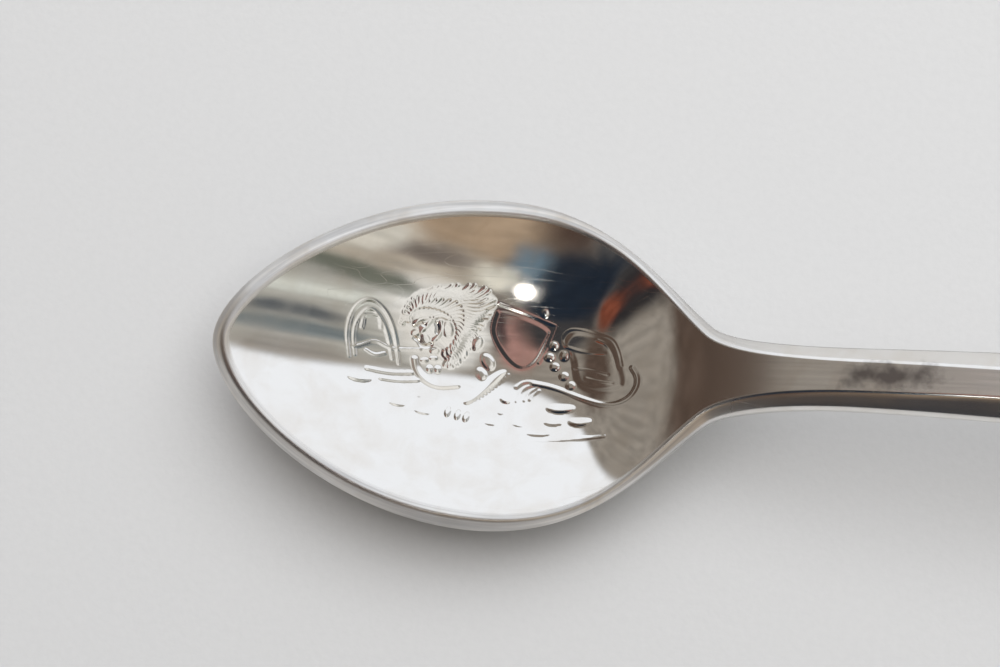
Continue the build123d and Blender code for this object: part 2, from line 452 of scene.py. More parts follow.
def mane():
    """Wavy locks that sweep from the hairline to the mane's edge, each a list of points."""
    locks = []
    for number in range(MANE_LOCKS):
        share = number / (MANE_LOCKS - 1)
        root = along(HAIRLINE, share - ROOT_SLIDE)
        end = along(MANE_EDGE, share + END_SLIDE * math.sin(math.pi * share))
        begins, ends = LOCK_STARTS[number % 2], LOCK_ENDS[number % 3]
        shift = number * LOCK_SHIFT
        across = np.array([root[1] - end[1], end[0] - root[0]])
        across /= np.linalg.norm(across)
        lock = []
        for step in range(LOCK_STEPS):
            reach = begins + (ends - begins) * step / (LOCK_STEPS - 1)
            wave = RIPPLE * math.sin(reach * RIPPLE_RATE + shift)
            wave += SWING * reach * (1 - reach) * math.sin(shift)
            lock.append(tuple(root + (end - root) * reach + across * wave))
        locks.append(lock)
    return locks


# Keeps a division safe where two points of a line are the same
TINY = 1e-12


def distance_to(line, s, y):
    """Distance from every point (s, y) to a line of points."""
    best = np.full(s.shape, np.inf)
    for (as_, ay), (bs, by) in zip(line[:-1], line[1:]):
        run, climb = bs - as_, by - ay
        share = ((s - as_) * run + (y - ay) * climb) / (run * run + climb * climb + TINY)
        share = np.clip(share, 0, 1)
        best = np.minimum(best, (s - as_ - share * run) ** 2 + (y - ay - share * climb) ** 2)
    return np.sqrt(best)


def stroke(field, s, y, points, half_width, height):
    """Raises a field, in place, along a line of points."""
    line = rounded(points)
    low, high = line.min(axis=0) - half_width, line.max(axis=0) + half_width
    near = (s > low[0]) & (s < high[0]) & (y > low[1]) & (y < high[1])
    reach = np.clip(distance_to(line, s[near], y[near]) / half_width, 0, 1)
    field[near] = np.maximum(field[near], height * (1 - reach**2) ** 2)


def mass(s, y, points, height, edge):
    """A raised area, flat inside, with a soft edge."""
    line = rounded(points, closed=True)
    ring = np.vstack([line, line[:1]])
    inside = np.zeros(s.shape, bool)
    for (as_, ay), (bs, by) in zip(ring[:-1], ring[1:]):
        crosses = (ay > y) != (by > y)
        inside ^= crosses & (s < as_ + (bs - as_) * (y - ay) / (by - ay + TINY))
    return height * soft_ease(np.where(inside, distance_to(ring, s, y), 0), 0, edge)


def dome(field, s, y, oval, ledge=False):
    """Raises a field, in place, by a small oval."""
    station, side, half_length, half_width, turn, height = oval
    angle = math.radians(turn)
    lengthwise = ((s - station) * math.cos(angle) + (y - side) * math.sin(angle)) / half_length
    across = (-(s - station) * math.sin(angle) + (y - side) * math.cos(angle)) / half_width
    reach = np.clip(lengthwise**2 + across**2, 0, 1)
    lean = np.clip(LEDGE_FOOT - across, 0, LEDGE_MOST) if ledge else DOME_SHARE
    field[:] = np.maximum(field, height * lean * (1 - reach**2) ** 1.5)


# Raised areas: (outline, height, width of the soft edge)
MASSES = [
    (HEAD, 0.13, 1.3),
    (FLANK, 0.06, 0.5),
    (HAUNCH, 0.09, 0.7),
    (FORELEG, 0.08, 0.5),
]
# What each set of lines is drawn with: (lines, half width, height)
LINE_SETS = [
    (NICHE, 0.16, 0.028),
    (GROUND, 0.16, 0.05),
    (BROW + MUZZLE, 0.2, 0.04),
    (TUFT, 0.13, 0.03),
    (HAUNCH_LINES, 0.12, 0.026),
    (FLANK_RIM, 0.14, 0.03),
    ([COLLAR], 0.34, 0.055),
    ([TAIL], 0.24, 0.075),
]
MANE_LINE = (0.16, 0.04)
FURROW_LINE = (0.16, 0.06)
# Where the picture lies: stations it stays between, side of its middle, and half width
PICTURE_SPAN = (8.5, 32.5)
PICTURE_SIDE = -0.2
PICTURE_HALF = 7.6


def relief(s, y):
    """Height of the picture above the bowl's own surface."""
    ground = np.zeros(s.shape)
    for outline, height, edge in MASSES:
        ground = np.maximum(ground, mass(s, y, outline, height, edge))
    lines = np.zeros(s.shape)
    for drawn, half_width, height in LINE_SETS:
        for points in drawn:
            stroke(lines, s, y, points, half_width, height)
    for points in mane():
        stroke(lines, s, y, points, *MANE_LINE)
    for bead in range(LEG_BEADS):
        share = bead / (LEG_BEADS - 1)
        station, side = (LEG_EDGE[0][k] + (LEG_EDGE[1][k] - LEG_EDGE[0][k]) * share for k in (0, 1))
        dome(lines, s, y, (station, side, *BEAD))
    for oval in DOMES:
        dome(lines, s, y, oval)
    for oval in LEDGES:
        dome(lines, s, y, oval, ledge=True)
    sunk = np.zeros(s.shape)
    for points in FURROWS:
        stroke(sunk, s, y, points, *FURROW_LINE)
    return ground + lines - sunk


# ---------------------------------------------------------------- the spoon's mesh

# Half width of the mesh's fine middle, and the most of a row that it takes
CORE_HALF = 6.9
CORE_SHARE = 0.8
# How close the lengthwise lines of the mesh lie: (side, spacing), for that middle
LINE_SPACING = [
    (-6.9, 0.22),
    (-5.9, 0.2),
    (-5.6, 0.1),
    (-2.4, 0.1),
    (-1.4, 0.078),
    (6.7, 0.078),
    (6.9, 0.1),
]
CORE_COLUMNS = 156
OUTER_COLUMNS = 8
# From this station on, only one line in so many goes on; underneath, one in so many of those
COARSE_FROM = 45.0
COARSE = 4
UNDER_STEP = 2
# How close the crosswise lines lie: (station, spacing)
ROW_SPACING = [
    (0, 0.3),
    (8, 0.3),
    (9, 0.1),
    (12.9, 0.1),
    (13.2, 0.075),
    (20.6, 0.075),
    (21, 0.095),
    (31.5, 0.095),
    (32.5, 0.3),
    (45, 0.45),
    (60, 0.75),
    (95, 0.75),
    (97, 0.2),
    (101, 0.25),
    (103, 0.7),
    (LENGTH, 0.7),
]
# The rows' closest spacing along the edge itself
EDGE_SPACING = 0.3
# Rings over the bevel's rounding, over its flat part, and round the lower corner
ROUND_RINGS = 8
FACET_RINGS = 4
FOOT_RINGS = 4
# The rounding's ends, in softnesses either side of the bevel's inner edge, and a gap
ROUND_START = 0.75
ROUND_END = 0.9
ROUND_GAP = 0.05
# The outer lip: inset of the last flat ring, the rounding's step in and down, the wall's share
# above its first ring, and the wall's least height
LAST_FLAT = 0.06
LIP_STEP = (0.018, -0.012)
LIP_WALL = 0.2
THINNEST_WALL = 0.15
# The lower corner's radius: at most, and as a share of the wall's height with a little more
FOOT_RADIUS = 0.3
FOOT_SHARE = 0.6
FOOT_LEAST = 0.1
# How bright the polish is: 1 in the bowl, and less elsewhere, fading between these stations
STEM_POLISH = 0.5
STEM_BEVEL_POLISH = 0.75
UNDER_POLISH = 0.7
POLISH_FADE = (34.0, 44.0)
# Millimetres between the rings' places in the "flow" attribute
FLOW_STEP = 0.13


def rounding_end(width, softness):
    """How far in from the edge the bevel's rounding ends."""
    return width + ROUND_END * softness + ROUND_GAP


def row_places():
    """Places along the half outline, as indices into it, close together where detail is."""
    width, _, softness = bevel_at(OUTLINE[:, 0])
    tangent = np.gradient(OUTLINE, axis=0)
    tangent /= np.linalg.norm(tangent, axis=1)[:, None]
    inward = np.column_stack([tangent[:, 1], -tangent[:, 0]])
    inner = OUTLINE + inward * rounding_end(width, softness)[:, None]
    stations, spacings = zip(*ROW_SPACING)
    spacing = np.interp(inner[:, 0], stations, spacings)
    lengthwise = np.abs(np.gradient(inner[:, 0])) / spacing
    around = np.hypot(*np.gradient(OUTLINE, axis=0).T) / np.maximum(spacing, EDGE_SPACING)
    cost = np.append(0, np.cumsum(np.maximum(lengthwise, around)[1:]))
    count = int(math.ceil(cost[-1]))
    places = np.interp(np.linspace(0, cost[-1], count + 1), cost, np.arange(len(OUTLINE)))
    return places, inward


def core_lines():
    """Sides of the mesh's lengthwise lines in the bowl's middle."""
    sides, spacings = zip(*LINE_SPACING)
    fine = np.linspace(-CORE_HALF, CORE_HALF, 4000)
    density = 1 / np.interp(fine, sides, spacings)
    cost = np.append(0, np.cumsum((density[1:] + density[:-1]) / 2))
    return np.interp(np.linspace(0, cost[-1], CORE_COLUMNS + 1), cost, fine)


def mesh_rows():
    """The rows' ends on the +Y edge, the way inward there, and where the rounding ends."""
    places, inward = row_places()
    index = np.arange(len(OUTLINE))
    edge = np.column_stack([np.interp(places, index, OUTLINE[:, k]) for k in (0, 1)])
    normal = np.column_stack([np.interp(places, index, inward[:, k]) for k in (0, 1)])
    normal[0] = 1, 0
    width, _, softness = bevel_at(edge[:, 0])
    return edge, normal, edge + normal * rounding_end(width, softness)[:, None]


def row_sides(inner):
    """Where the lengthwise lines cross each row. The first row is the tip's one point."""
    middle = core_lines() / CORE_HALF
    outer = np.arange(1, OUTER_COLUMNS + 1) / OUTER_COLUMNS
    rows = [np.zeros(1)]
    for station, half in inner[1:]:
        core = np.minimum(CORE_HALF, CORE_SHARE * half)
        wing = core + (half - core) * outer
        every = np.concatenate([-wing[::-1], middle * core, wing])
        rows.append(every[::COARSE] if station > COARSE_FROM else every)
    return rows


def upper_points(inner, sides):
    """The upper side's points, with the picture, and the numbers of each row's points."""
    stations = np.concatenate([np.full(len(row), at) for row, at in zip(sides, inner[:, 0])])
    across = np.concatenate(sides)
    height = smooth_top(stations, across)
    near = (stations > PICTURE_SPAN[0]) & (stations < PICTURE_SPAN[1])
    near &= np.abs(across) < PICTURE_HALF
    height[near] += relief(stations[near], across[near] - PICTURE_SIDE)
    ends = np.cumsum([len(row) for row in sides])
    numbers = [np.zeros(len(sides[1]), int)]
    for row, end in zip(sides[1:], ends[1:]):
        numbers.append(np.arange(end - len(row), end))
    return np.column_stack([stations, across, height]), numbers


def upper_faces(numbers):
    """Faces between the rows, where the next row may have fewer points."""
    faces = []
    for now, following in zip(numbers[:-1], numbers[1:]):
        step = (len(now) - 1) // (len(following) - 1)
        for column in range(len(following) - 1):
            few = now[column * step : column * step + step + 1][::-1]
            corners = [following[column], following[column + 1], *few]
            faces.append(corners if now[0] != now[-1] else corners[:3])
    return faces


def edge_rings(loop, inward):
    """Rings along the edge: the bevel's rounding, its flat part, the wall and its corner."""
    width, drop, softness = bevel_at(loop[:, 0])
    steep = ease(-loop[:, 1], -STEEP_BLEND, STEEP_BLEND) * (1 - ease(loop[:, 0], *STEEP_FADE))
    width = width * (1 - STEEP_WIDTH * steep)
    drop = drop * (1 + STEEP_DROP * steep)
    crest = loop + inward * width[:, None]
    outer_height = smooth_top(*crest.T) - drop

    def ring(inset):
        at = loop + inward * inset[:, None]
        facet = outer_height + drop * inset / width
        return np.column_stack([at, bevelled(smooth_top(*at.T), facet, softness)])

    start = width - ROUND_START * softness
    finish = rounding_end(width, softness)
    rings = []
    for step in range(1, ROUND_RINGS):
        rings.append(ring(finish + (start - finish) * step / ROUND_RINGS))
    for step in range(FACET_RINGS):
        rings.append(ring(start * (1 - step / FACET_RINGS) + LAST_FLAT * step / FACET_RINGS))
    lip = ring(np.zeros(len(loop)))
    foot = np.minimum(smooth_bottom(*loop.T), lip[:, 2] - THINNEST_WALL)
    foot = np.column_stack([loop, foot])
    wall = (lip - foot) * (0, 0, 1)
    rings.append(lip + np.column_stack([inward * LIP_STEP[0], np.full(len(lip), LIP_STEP[1])]))
    rings.append(lip - LIP_WALL * wall)
    corner = np.minimum(FOOT_RADIUS, FOOT_SHARE * wall[:, 2] + FOOT_LEAST)
    under = loop + inward * corner[:, None]
    low = np.column_stack([under, smooth_bottom(*under.T)])
    high = foot + 0.5 * wall
    for step in range(FOOT_RINGS + 1):
        t = step / FOOT_RINGS
        rings.append((1 - t) ** 2 * high + 2 * t * (1 - t) * foot + t * t * low)
    return rings


def underside(ring, loop, last, columns, total):
    """The lower side's points, numbered from total on, and its faces inside the last ring."""
    numbers = np.zeros((last + 1, columns + 1), int)
    numbers[:0:-1, 0] = loop[:last]
    numbers[:, columns] = loop[last : 2 * last + 1]
    numbers[0] = loop[last]
    far = loop[2 * last + 1 :][::-1]
    numbers[last, 1:columns] = far[UNDER_STEP - 1 :: UNDER_STEP][: columns - 1]
    ends = ring[last + 1 : 2 * last]
    side = ends[:, 1][:, None] * np.linspace(-1, 1, columns + 1)[None, 1:columns]
    station = np.broadcast_to(ends[:, 0][:, None], side.shape)
    numbers[1:last, 1:columns] = total + np.arange(side.size).reshape(side.shape)
    side, station = side.ravel(), station.ravel()
    faces = []
    for row in range(last):
        for column in range(columns):
            a, b = numbers[row, column : column + 2]
            d, c = numbers[row + 1, column : column + 2]
            between = []
            if row == last - 1:
                between = far[column * UNDER_STEP : (column + 1) * UNDER_STEP - 1][::-1]
            faces.append([a, b, c, *between, d] if row else [a, c, d])
    return np.column_stack([station, side, smooth_bottom(station, side)]), faces


def build_spoon():
    """One closed mesh: a grid above, rings round the edge, and a grid below."""
    edge, inward, inner = mesh_rows()
    sides = row_sides(inner)
    top, numbers = upper_points(inner, sides)
    faces = upper_faces(numbers)

    # The edge as a loop: the -Y side back to the tip, the +Y side, and across the far end
    last = len(edge) - 1
    back = np.arange(last, 0, -1)
    far = np.arange(len(sides[-1]) - 2, 0, -1)
    far_sides = sides[-1][far] / inner[-1, 1] * edge[-1, 1]
    far_edge = np.column_stack([np.full(len(far), LENGTH), far_sides])
    loop_edge = np.vstack([edge[back] * (1, -1), edge, far_edge])
    far_inward = np.tile((-1.0, 0.0), (len(far), 1))
    loop_inward = np.vstack([inward[back] * (1, -1), inward, far_inward])
    run = np.append(0, np.cumsum(np.hypot(*np.diff(loop_edge, axis=0).T)))
    loop = np.concatenate(
        [[numbers[row][0] for row in back], [row[-1] for row in numbers], numbers[-1][far]]
    )
    blocks = [top]
    flows = [top * (1, 1, 0)]
    total = len(top)
    for ring in edge_rings(loop_edge, loop_inward):
        flows.append(np.column_stack([run, np.full(len(ring), FLOW_STEP * len(blocks)), 0 * run]))
        blocks.append(ring)
        following = total + np.arange(len(loop))
        ahead, ahead_next = np.roll(loop, -1), np.roll(following, -1)
        faces.extend(np.column_stack([loop, ahead, ahead_next, following]))
        total += len(ring)
        loop = following

    columns = (len(sides[-1]) - 1) // UNDER_STEP
    bottom, bottom_faces = underside(blocks[-1], loop, last, columns, total)
    faces.extend(bottom_faces)
    blocks.append(bottom)
    flows.append(bottom * (1, 1, 0))
    points = np.vstack(blocks)
    mesh = bpy.data.meshes.new("spoon")
    places = (points + (TIP, 0, 0)) * MM
    mesh.from_pydata(places.tolist(), [], [list(map(int, face)) for face in faces])
    mesh.update()
    mesh.shade_smooth()

    polish = mesh.attributes.new("polish", "FLOAT", "POINT")
    shine = STEM_BEVEL_POLISH * ease(points[:, 0], *POLISH_FADE)
    shine[: len(top)] = 1 - (1 - STEM_POLISH) * ease(top[:, 0], *POLISH_FADE)
    shine[-len(bottom) :] = UNDER_POLISH
    polish.data.foreach_set("value", shine.astype(np.float32))
    # Places in millimetres that run along the edge, for lines that were drawn along it
    flow = mesh.attributes.new("flow", "FLOAT_VECTOR", "POINT")
    flow.data.foreach_set("vector", np.vstack(flows).astype(np.float32).ravel())
    return mesh


def add_piece(name, mesh, node, material):
    """Shows a mesh in place of a CAD node."""
    piece = bpy.data.objects.new(name, mesh)
    bpy.context.scene.collection.objects.link(piece)
    piece.data.materials.append(material)
    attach(piece, "root")
    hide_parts(node)


# ---------------------------------------------------------------- materials
# The functions below that add nodes take an owner: a material, or the world.


def new_material(name, color, metallic, roughness):
    """A material with plain values, which the caller then replaces by nodes."""
    material = bpy.data.materials.new(name)
    material.use_nodes = True
    shader = material.node_tree.nodes["Principled BSDF"]
    shader.inputs["Base Color"].default_value = (*color, 1)
    shader.inputs["Metallic"].default_value = metallic
    shader.inputs["Roughness"].default_value = roughness
    return material


def stretched(owner, place, scale, turn=0):
    """Coordinates turned about Z, in degrees, and stretched."""
    mapping = owner.node_tree.nodes.new("ShaderNodeMapping")
    mapping.inputs["Rotation"].default_value = (0, 0, math.radians(turn))
    mapping.inputs["Scale"].default_value = scale
    owner.node_tree.links.new(place, mapping.inputs["Vector"])
    return mapping.outputs[0]


def coordinates(owner, turn=0, scale=(1, 1, 1)):
    """The object's own coordinates, in metres, turned about Z and stretched."""
    place = owner.node_tree.nodes.new("ShaderNodeTexCoord").outputs["Object"]
    return stretched(owner, place, scale, turn)


def oval_reach(owner, place, centre, half_size, turn=0):
    """Distance from an oval's centre, where 1 is the oval's outline."""
    local = owner.node_tree.nodes.new("ShaderNodeMapping")
    local.vector_type = "TEXTURE"
    local.inputs["Location"].default_value = (*centre, 0)
    local.inputs["Rotation"].default_value = (0, 0, math.radians(turn))
    local.inputs["Scale"].default_value = (*half_size, 1)
    owner.node_tree.links.new(place, local.inputs["Vector"])
    reach = owner.node_tree.nodes.new("ShaderNodeVectorMath")
    reach.operation = "LENGTH"
    owner.node_tree.links.new(local.outputs[0], reach.inputs[0])
    return reach.outputs["Value"]


def noise(owner, scale, detail, place, distortion=0, output="Fac"):
    node = owner.node_tree.nodes.new("ShaderNodeTexNoise")
    node.inputs["Scale"].default_value = scale
    node.inputs["Detail"].default_value = detail
    node.inputs["Distortion"].default_value = distortion
    owner.node_tree.links.new(place, node.inputs["Vector"])
    return node.outputs[output]


def remap(owner, value, before, after, curve="LINEAR"):
    """A change of a value from one range to another, held at both ends."""
    node = owner.node_tree.nodes.new("ShaderNodeMapRange")
    node.interpolation_type = curve
    for name, number in zip(("From Min", "From Max", "To Min", "To Max"), (*before, *after)):
        node.inputs[name].default_value = number
    owner.node_tree.links.new(value, node.inputs["Value"])
    return node.outputs["Result"]


def combine(owner, operation, first, second):
    """An operation on two values, each a number or an output."""
    node = owner.node_tree.nodes.new("ShaderNodeMath")
    node.operation = operation
    for value, socket in zip((first, second), node.inputs):
        if isinstance(value, float):
            socket.default_value = value
        else:
            owner.node_tree.links.new(value, socket)
    return node.outputs[0]


def blend(owner, share, first, second):
    """A mix of two colours, each a tuple or an output."""
    node = owner.node_tree.nodes.new("ShaderNodeMix")
    node.data_type = "RGBA"
    owner.node_tree.links.new(share, node.inputs[0])
    for color, socket in ((first, node.inputs[6]), (second, node.inputs[7])):
        if isinstance(color, tuple):
            socket.default_value = (*color, 1)
        else:
            owner.node_tree.links.new(color, socket)
    return node.outputs[2]


def bump(owner, height, distance):
    """A normal bent by a height, where a height of 1 stands for a distance in metres."""
    node = owner.node_tree.nodes.new("ShaderNodeBump")
    node.inputs["Distance"].default_value = distance
    node.inputs["Strength"].default_value = 1
    owner.node_tree.links.new(height, node.inputs["Height"])
    return node.outputs["Normal"]


def attribute(owner, name, output):
    node = owner.node_tree.nodes.new("ShaderNodeAttribute")
    node.attribute_name = name
    return node.outputs[output]


# Hairlines: (turn in degrees, scale across, scale along against across, half width of the
# band, shift that sets them apart)
HAIRLINES = [
    (12, 1100, 0.008, 0.0035, 0.0),
    (-38, 900, 0.012, 0.003, 3.1),
    (67, 1000, 0.01, 0.0025, 7.7),
]


def hairlines(material):
    """Fine scratches, as thin bands where stretched noise crosses its middle value."""
    total = None
    for turn, scale, along_scale, band, shift in HAIRLINES:
        place = coordinates(material, turn, (along_scale, 1, 1))
        shifted = material.node_tree.nodes.new("ShaderNodeVectorMath")
        shifted.inputs[1].default_value = (shift, shift, shift)
        material.node_tree.links.new(place, shifted.inputs[0])
        value = noise(material, scale, 0, shifted.outputs[0])
        off = combine(material, "ABSOLUTE", combine(material, "SUBTRACT", value, 0.5), 0.0)
        line = remap(material, off, (0, band), (1, 0))
        patchy = remap(material, noise(material, 260, 2, shifted.outputs[0]), (0.55, 0.66), (0, 1))
        line = combine(material, "MULTIPLY", line, patchy)
        total = line if total is None else combine(material, "MAXIMUM", total, line)
    return total


# Colours of the metal: polished, drawn matt, in the stem's mark, and tarnished
SILVER = (0.86, 0.845, 0.82)
DRAWN_SILVER = (0.52, 0.51, 0.5)
MARK_TONE = (0.2, 0.18, 0.18)
TARNISH = (0.6, 0.5, 0.38)
# A cloudy mark on the stem: (centre, half length, half width) in millimetres
MARK = ((-8.3, 0.1), 3.4, 1.1)


def stem_mark(material):
    """How dark the stem's mark is at each place."""
    centre, half_length, half_width = MARK
    place = coordinates(material)
    centre = [number * MM for number in centre]
    reach = oval_reach(material, place, centre, (half_length * MM, half_width * MM))
    cloud = remap(material, noise(material, 700, 4, place), (0.3, 0.7), (-0.4, 0.4))
    return remap(material, combine(material, "ADD", reach, cloud), (0.4, 1.2), (0.9, 0))


# Roughness of the least and the most polished metal, and the most that marks add to it
POLISH_ROUGHNESS = (0.34, 0.075)
HAZE_ROUGHNESS = 0.03
STAIN_ROUGHNESS = 0.05
SCRATCH_ROUGHNESS = 0.05
# Noise values between which haze sets in
HAZE_RANGE = (0.42, 0.7)
# Stretch along the edge of the lines that polishing drew, and height of all fine marks
DRAWN_STRETCH = 0.035
MARK_HEIGHT = 0.000003


def silver_plate():
    """Worn silver plate: mirror-like in the bowl, drawn lengthwise elsewhere, lightly marked."""
    material = new_material("silver plate", SILVER, 1, 0.12)
    link = material.node_tree.links.new
    shader = material.node_tree.nodes["Principled BSDF"]
    polish = attribute(material, "polish", "Fac")
    flow = stretched(material, attribute(material, "flow", "Vector"), (DRAWN_STRETCH, 1, 1))
    drawn = noise(material, 3.2, 5, flow)
    place = coordinates(material)
    haze = noise(material, 420, 6, place, 0.4)
    smudge = noise(material, 150, 3, coordinates(material, 25, (1, 0.6, 1)), 1.2)
    scratches = hairlines(material)

    rough = remap(material, polish, (0, 1), POLISH_ROUGHNESS)
    hazy = remap(material, haze, HAZE_RANGE, (0, HAZE_ROUGHNESS))
    stained = remap(material, smudge, (0.56, 0.66), (0, STAIN_ROUGHNESS))
    worn = remap(material, scratches, (0, 1), (0, SCRATCH_ROUGHNESS))
    for added in (hazy, stained, worn):
        rough = combine(material, "ADD", rough, added)
    link(rough, shader.inputs["Roughness"])

    dull = remap(material, haze, HAZE_RANGE, (0, 0.2))
    grimy = remap(material, smudge, (0.52, 0.68), (0, 1))
    grime = combine(material, "MULTIPLY", grimy, remap(material, polish, (0.3, 1), (0.5, 0.08)))
    tone = blend(material, combine(material, "ADD", dull, grime), SILVER, TARNISH)
    matt = remap(material, drawn, (0.35, 0.65), (0, 2))
    matt = combine(material, "MULTIPLY", matt, remap(material, polish, (0, 0.8), (0.4, 0)))
    tone = blend(material, matt, tone, DRAWN_SILVER)
    link(blend(material, stem_mark(material), tone, MARK_TONE), shader.inputs["Base Color"])

    unpolished = remap(material, polish, (0, 0.9), (1, 0))
    height = combine(material, "MULTIPLY", drawn, unpolished)
    cut = combine(material, "MULTIPLY", scratches, -0.3)
    pebble = remap(material, noise(material, 1300, 3, place), (0, 1), (0, 0.35))
    for added in (cut, pebble):
        height = combine(material, "ADD", height, added)
    link(bump(material, height, MARK_HEIGHT), shader.inputs["Normal"])
    return material


def struck_silver():
    """The crest's plate: silver of uneven polish, with a little tarnish."""
    material = new_material("struck silver", SILVER, 1, 0.22)
    grain = noise(material, 2200, 5, coordinates(material))
    shader = material.node_tree.nodes["Principled BSDF"]
    link = material.node_tree.links.new
    link(remap(material, grain, (0.35, 0.7), (0.16, 0.36)), shader.inputs["Roughness"])
    tarnished = remap(material, grain, (0.5, 0.8), (0, 0.25))
    link(blend(material, tarnished, SILVER, TARNISH), shader.inputs["Base Color"])
    link(bump(material, grain, 0.0000015), shader.inputs["Normal"])
    return material


def solder():
    """Soft solder, grey and a little uneven."""
    material = new_material("solder", (0.42, 0.42, 0.41), 1, 0.5)
    grain = noise(material, 1500, 4, coordinates(material))
    shader = material.node_tree.nodes["Principled BSDF"]
    link = material.node_tree.links.new
    link(remap(material, grain, (0.3, 0.7), (0.4, 0.7)), shader.inputs["Roughness"])
    link(bump(material, grain, 0.00001), shader.inputs["Normal"])
    return material


def enamel(name, color, deep):
    """Glossy enamel whose colour pools a little darker in places."""
    material = new_material(name, color, 0, 0.16)
    pool = noise(material, 420, 3, coordinates(material))
    ripple = noise(material, 900, 2, coordinates(material))
    shader = material.node_tree.nodes["Principled BSDF"]
    link = material.node_tree.links.new
    pooled = remap(material, pool, (0.4, 0.7), (0, 1))
    link(blend(material, pooled, color, deep), shader.inputs["Base Color"])
    link(bump(material, ripple, 0.00003), shader.inputs["Normal"])
    shader.inputs["Coat Weight"].default_value = 0.6
    shader.inputs["Coat Roughness"].default_value = 0.05
    return material


add_piece("spoon", build_spoon(), "spoon_body", silver_plate())

CREST_MATERIALS = {
    "crest_plate": struck_silver(),
    "crest_solder": solder(),
    "enamel_sky": enamel("sky enamel", (0.15, 0.36, 0.62), (0.08, 0.25, 0.5)),
    "enamel_sun": enamel("sun enamel", (0.86, 0.56, 0.07), (0.72, 0.4, 0.04)),
    "enamel_peaks": enamel("snow enamel", (0.82, 0.84, 0.86), (0.66, 0.71, 0.77)),
    "enamel_meadow": enamel("meadow enamel", (0.06, 0.26, 0.09), (0.03, 0.16, 0.05)),
    "enamel_lake": enamel("lake enamel", (0.03, 0.17, 0.4), (0.02, 0.09, 0.27)),
}
for node_name, material in CREST_MATERIALS.items():
    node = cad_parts[node_name]
    node.data.materials.clear()
    node.data.materials.append(material)

# ---------------------------------------------------------------- stage, light and camera

FLOOR_HALF = 0.6
PAPER = (0.545, 0.548, 0.55)
PAPER_DARK = (0.53, 0.533, 0.536)


def add_floor():
    """Pale paper with a faint grain."""
    corners = [(x * FLOOR_HALF, y * FLOOR_HALF, 0) for x, y in ((-1, -1), (1, -1), (1, 1), (-1, 1))]
    mesh = bpy.data.meshes.new("floor")
    mesh.from_pydata(corners, [], [(0, 1, 2, 3)])
    floor = bpy.data.objects.new("floor", mesh)
    bpy.context.scene.collection.objects.link(floor)
    paper = new_material("paper", PAPER, 0, 0.8)
    shader = paper.node_tree.nodes["Principled BSDF"]
    grain = noise(paper, 1800, 6, coordinates(paper))
    link = paper.node_tree.links.new
    tint = blend(paper, remap(paper, grain, (0.3, 0.7), (0, 1)), PAPER_DARK, PAPER)
    link(tint, shader.inputs["Base Color"])
    link(bump(paper, grain, 0.00002), shader.inputs["Normal"])
    mesh.materials.append(paper)


add_floor()

# A broad soft light that the metal doesn't mirror, in metres and watts
LIGHT_PLACE = Vector((0.02, 0.12, 0.3))
LIGHT_TARGET = Vector((0.0, 0.05, 0.0))
LIGHT_SIZE = 0.4
LIGHT_POWER = 1.35


def add_light():
    """The light that lays the spoon's soft shadow on the paper."""
    data = bpy.data.lights.new("soft light", "AREA")
    data.size = LIGHT_SIZE
    data.energy = LIGHT_POWER
    light = bpy.data.objects.new("soft light", data)
    bpy.context.scene.collection.objects.link(light)
    light.location = LIGHT_PLACE
    light.rotation_euler = (LIGHT_TARGET - LIGHT_PLACE).to_track_quat("-Z", "Y").to_euler()
    light.visible_glossy = False


add_light()

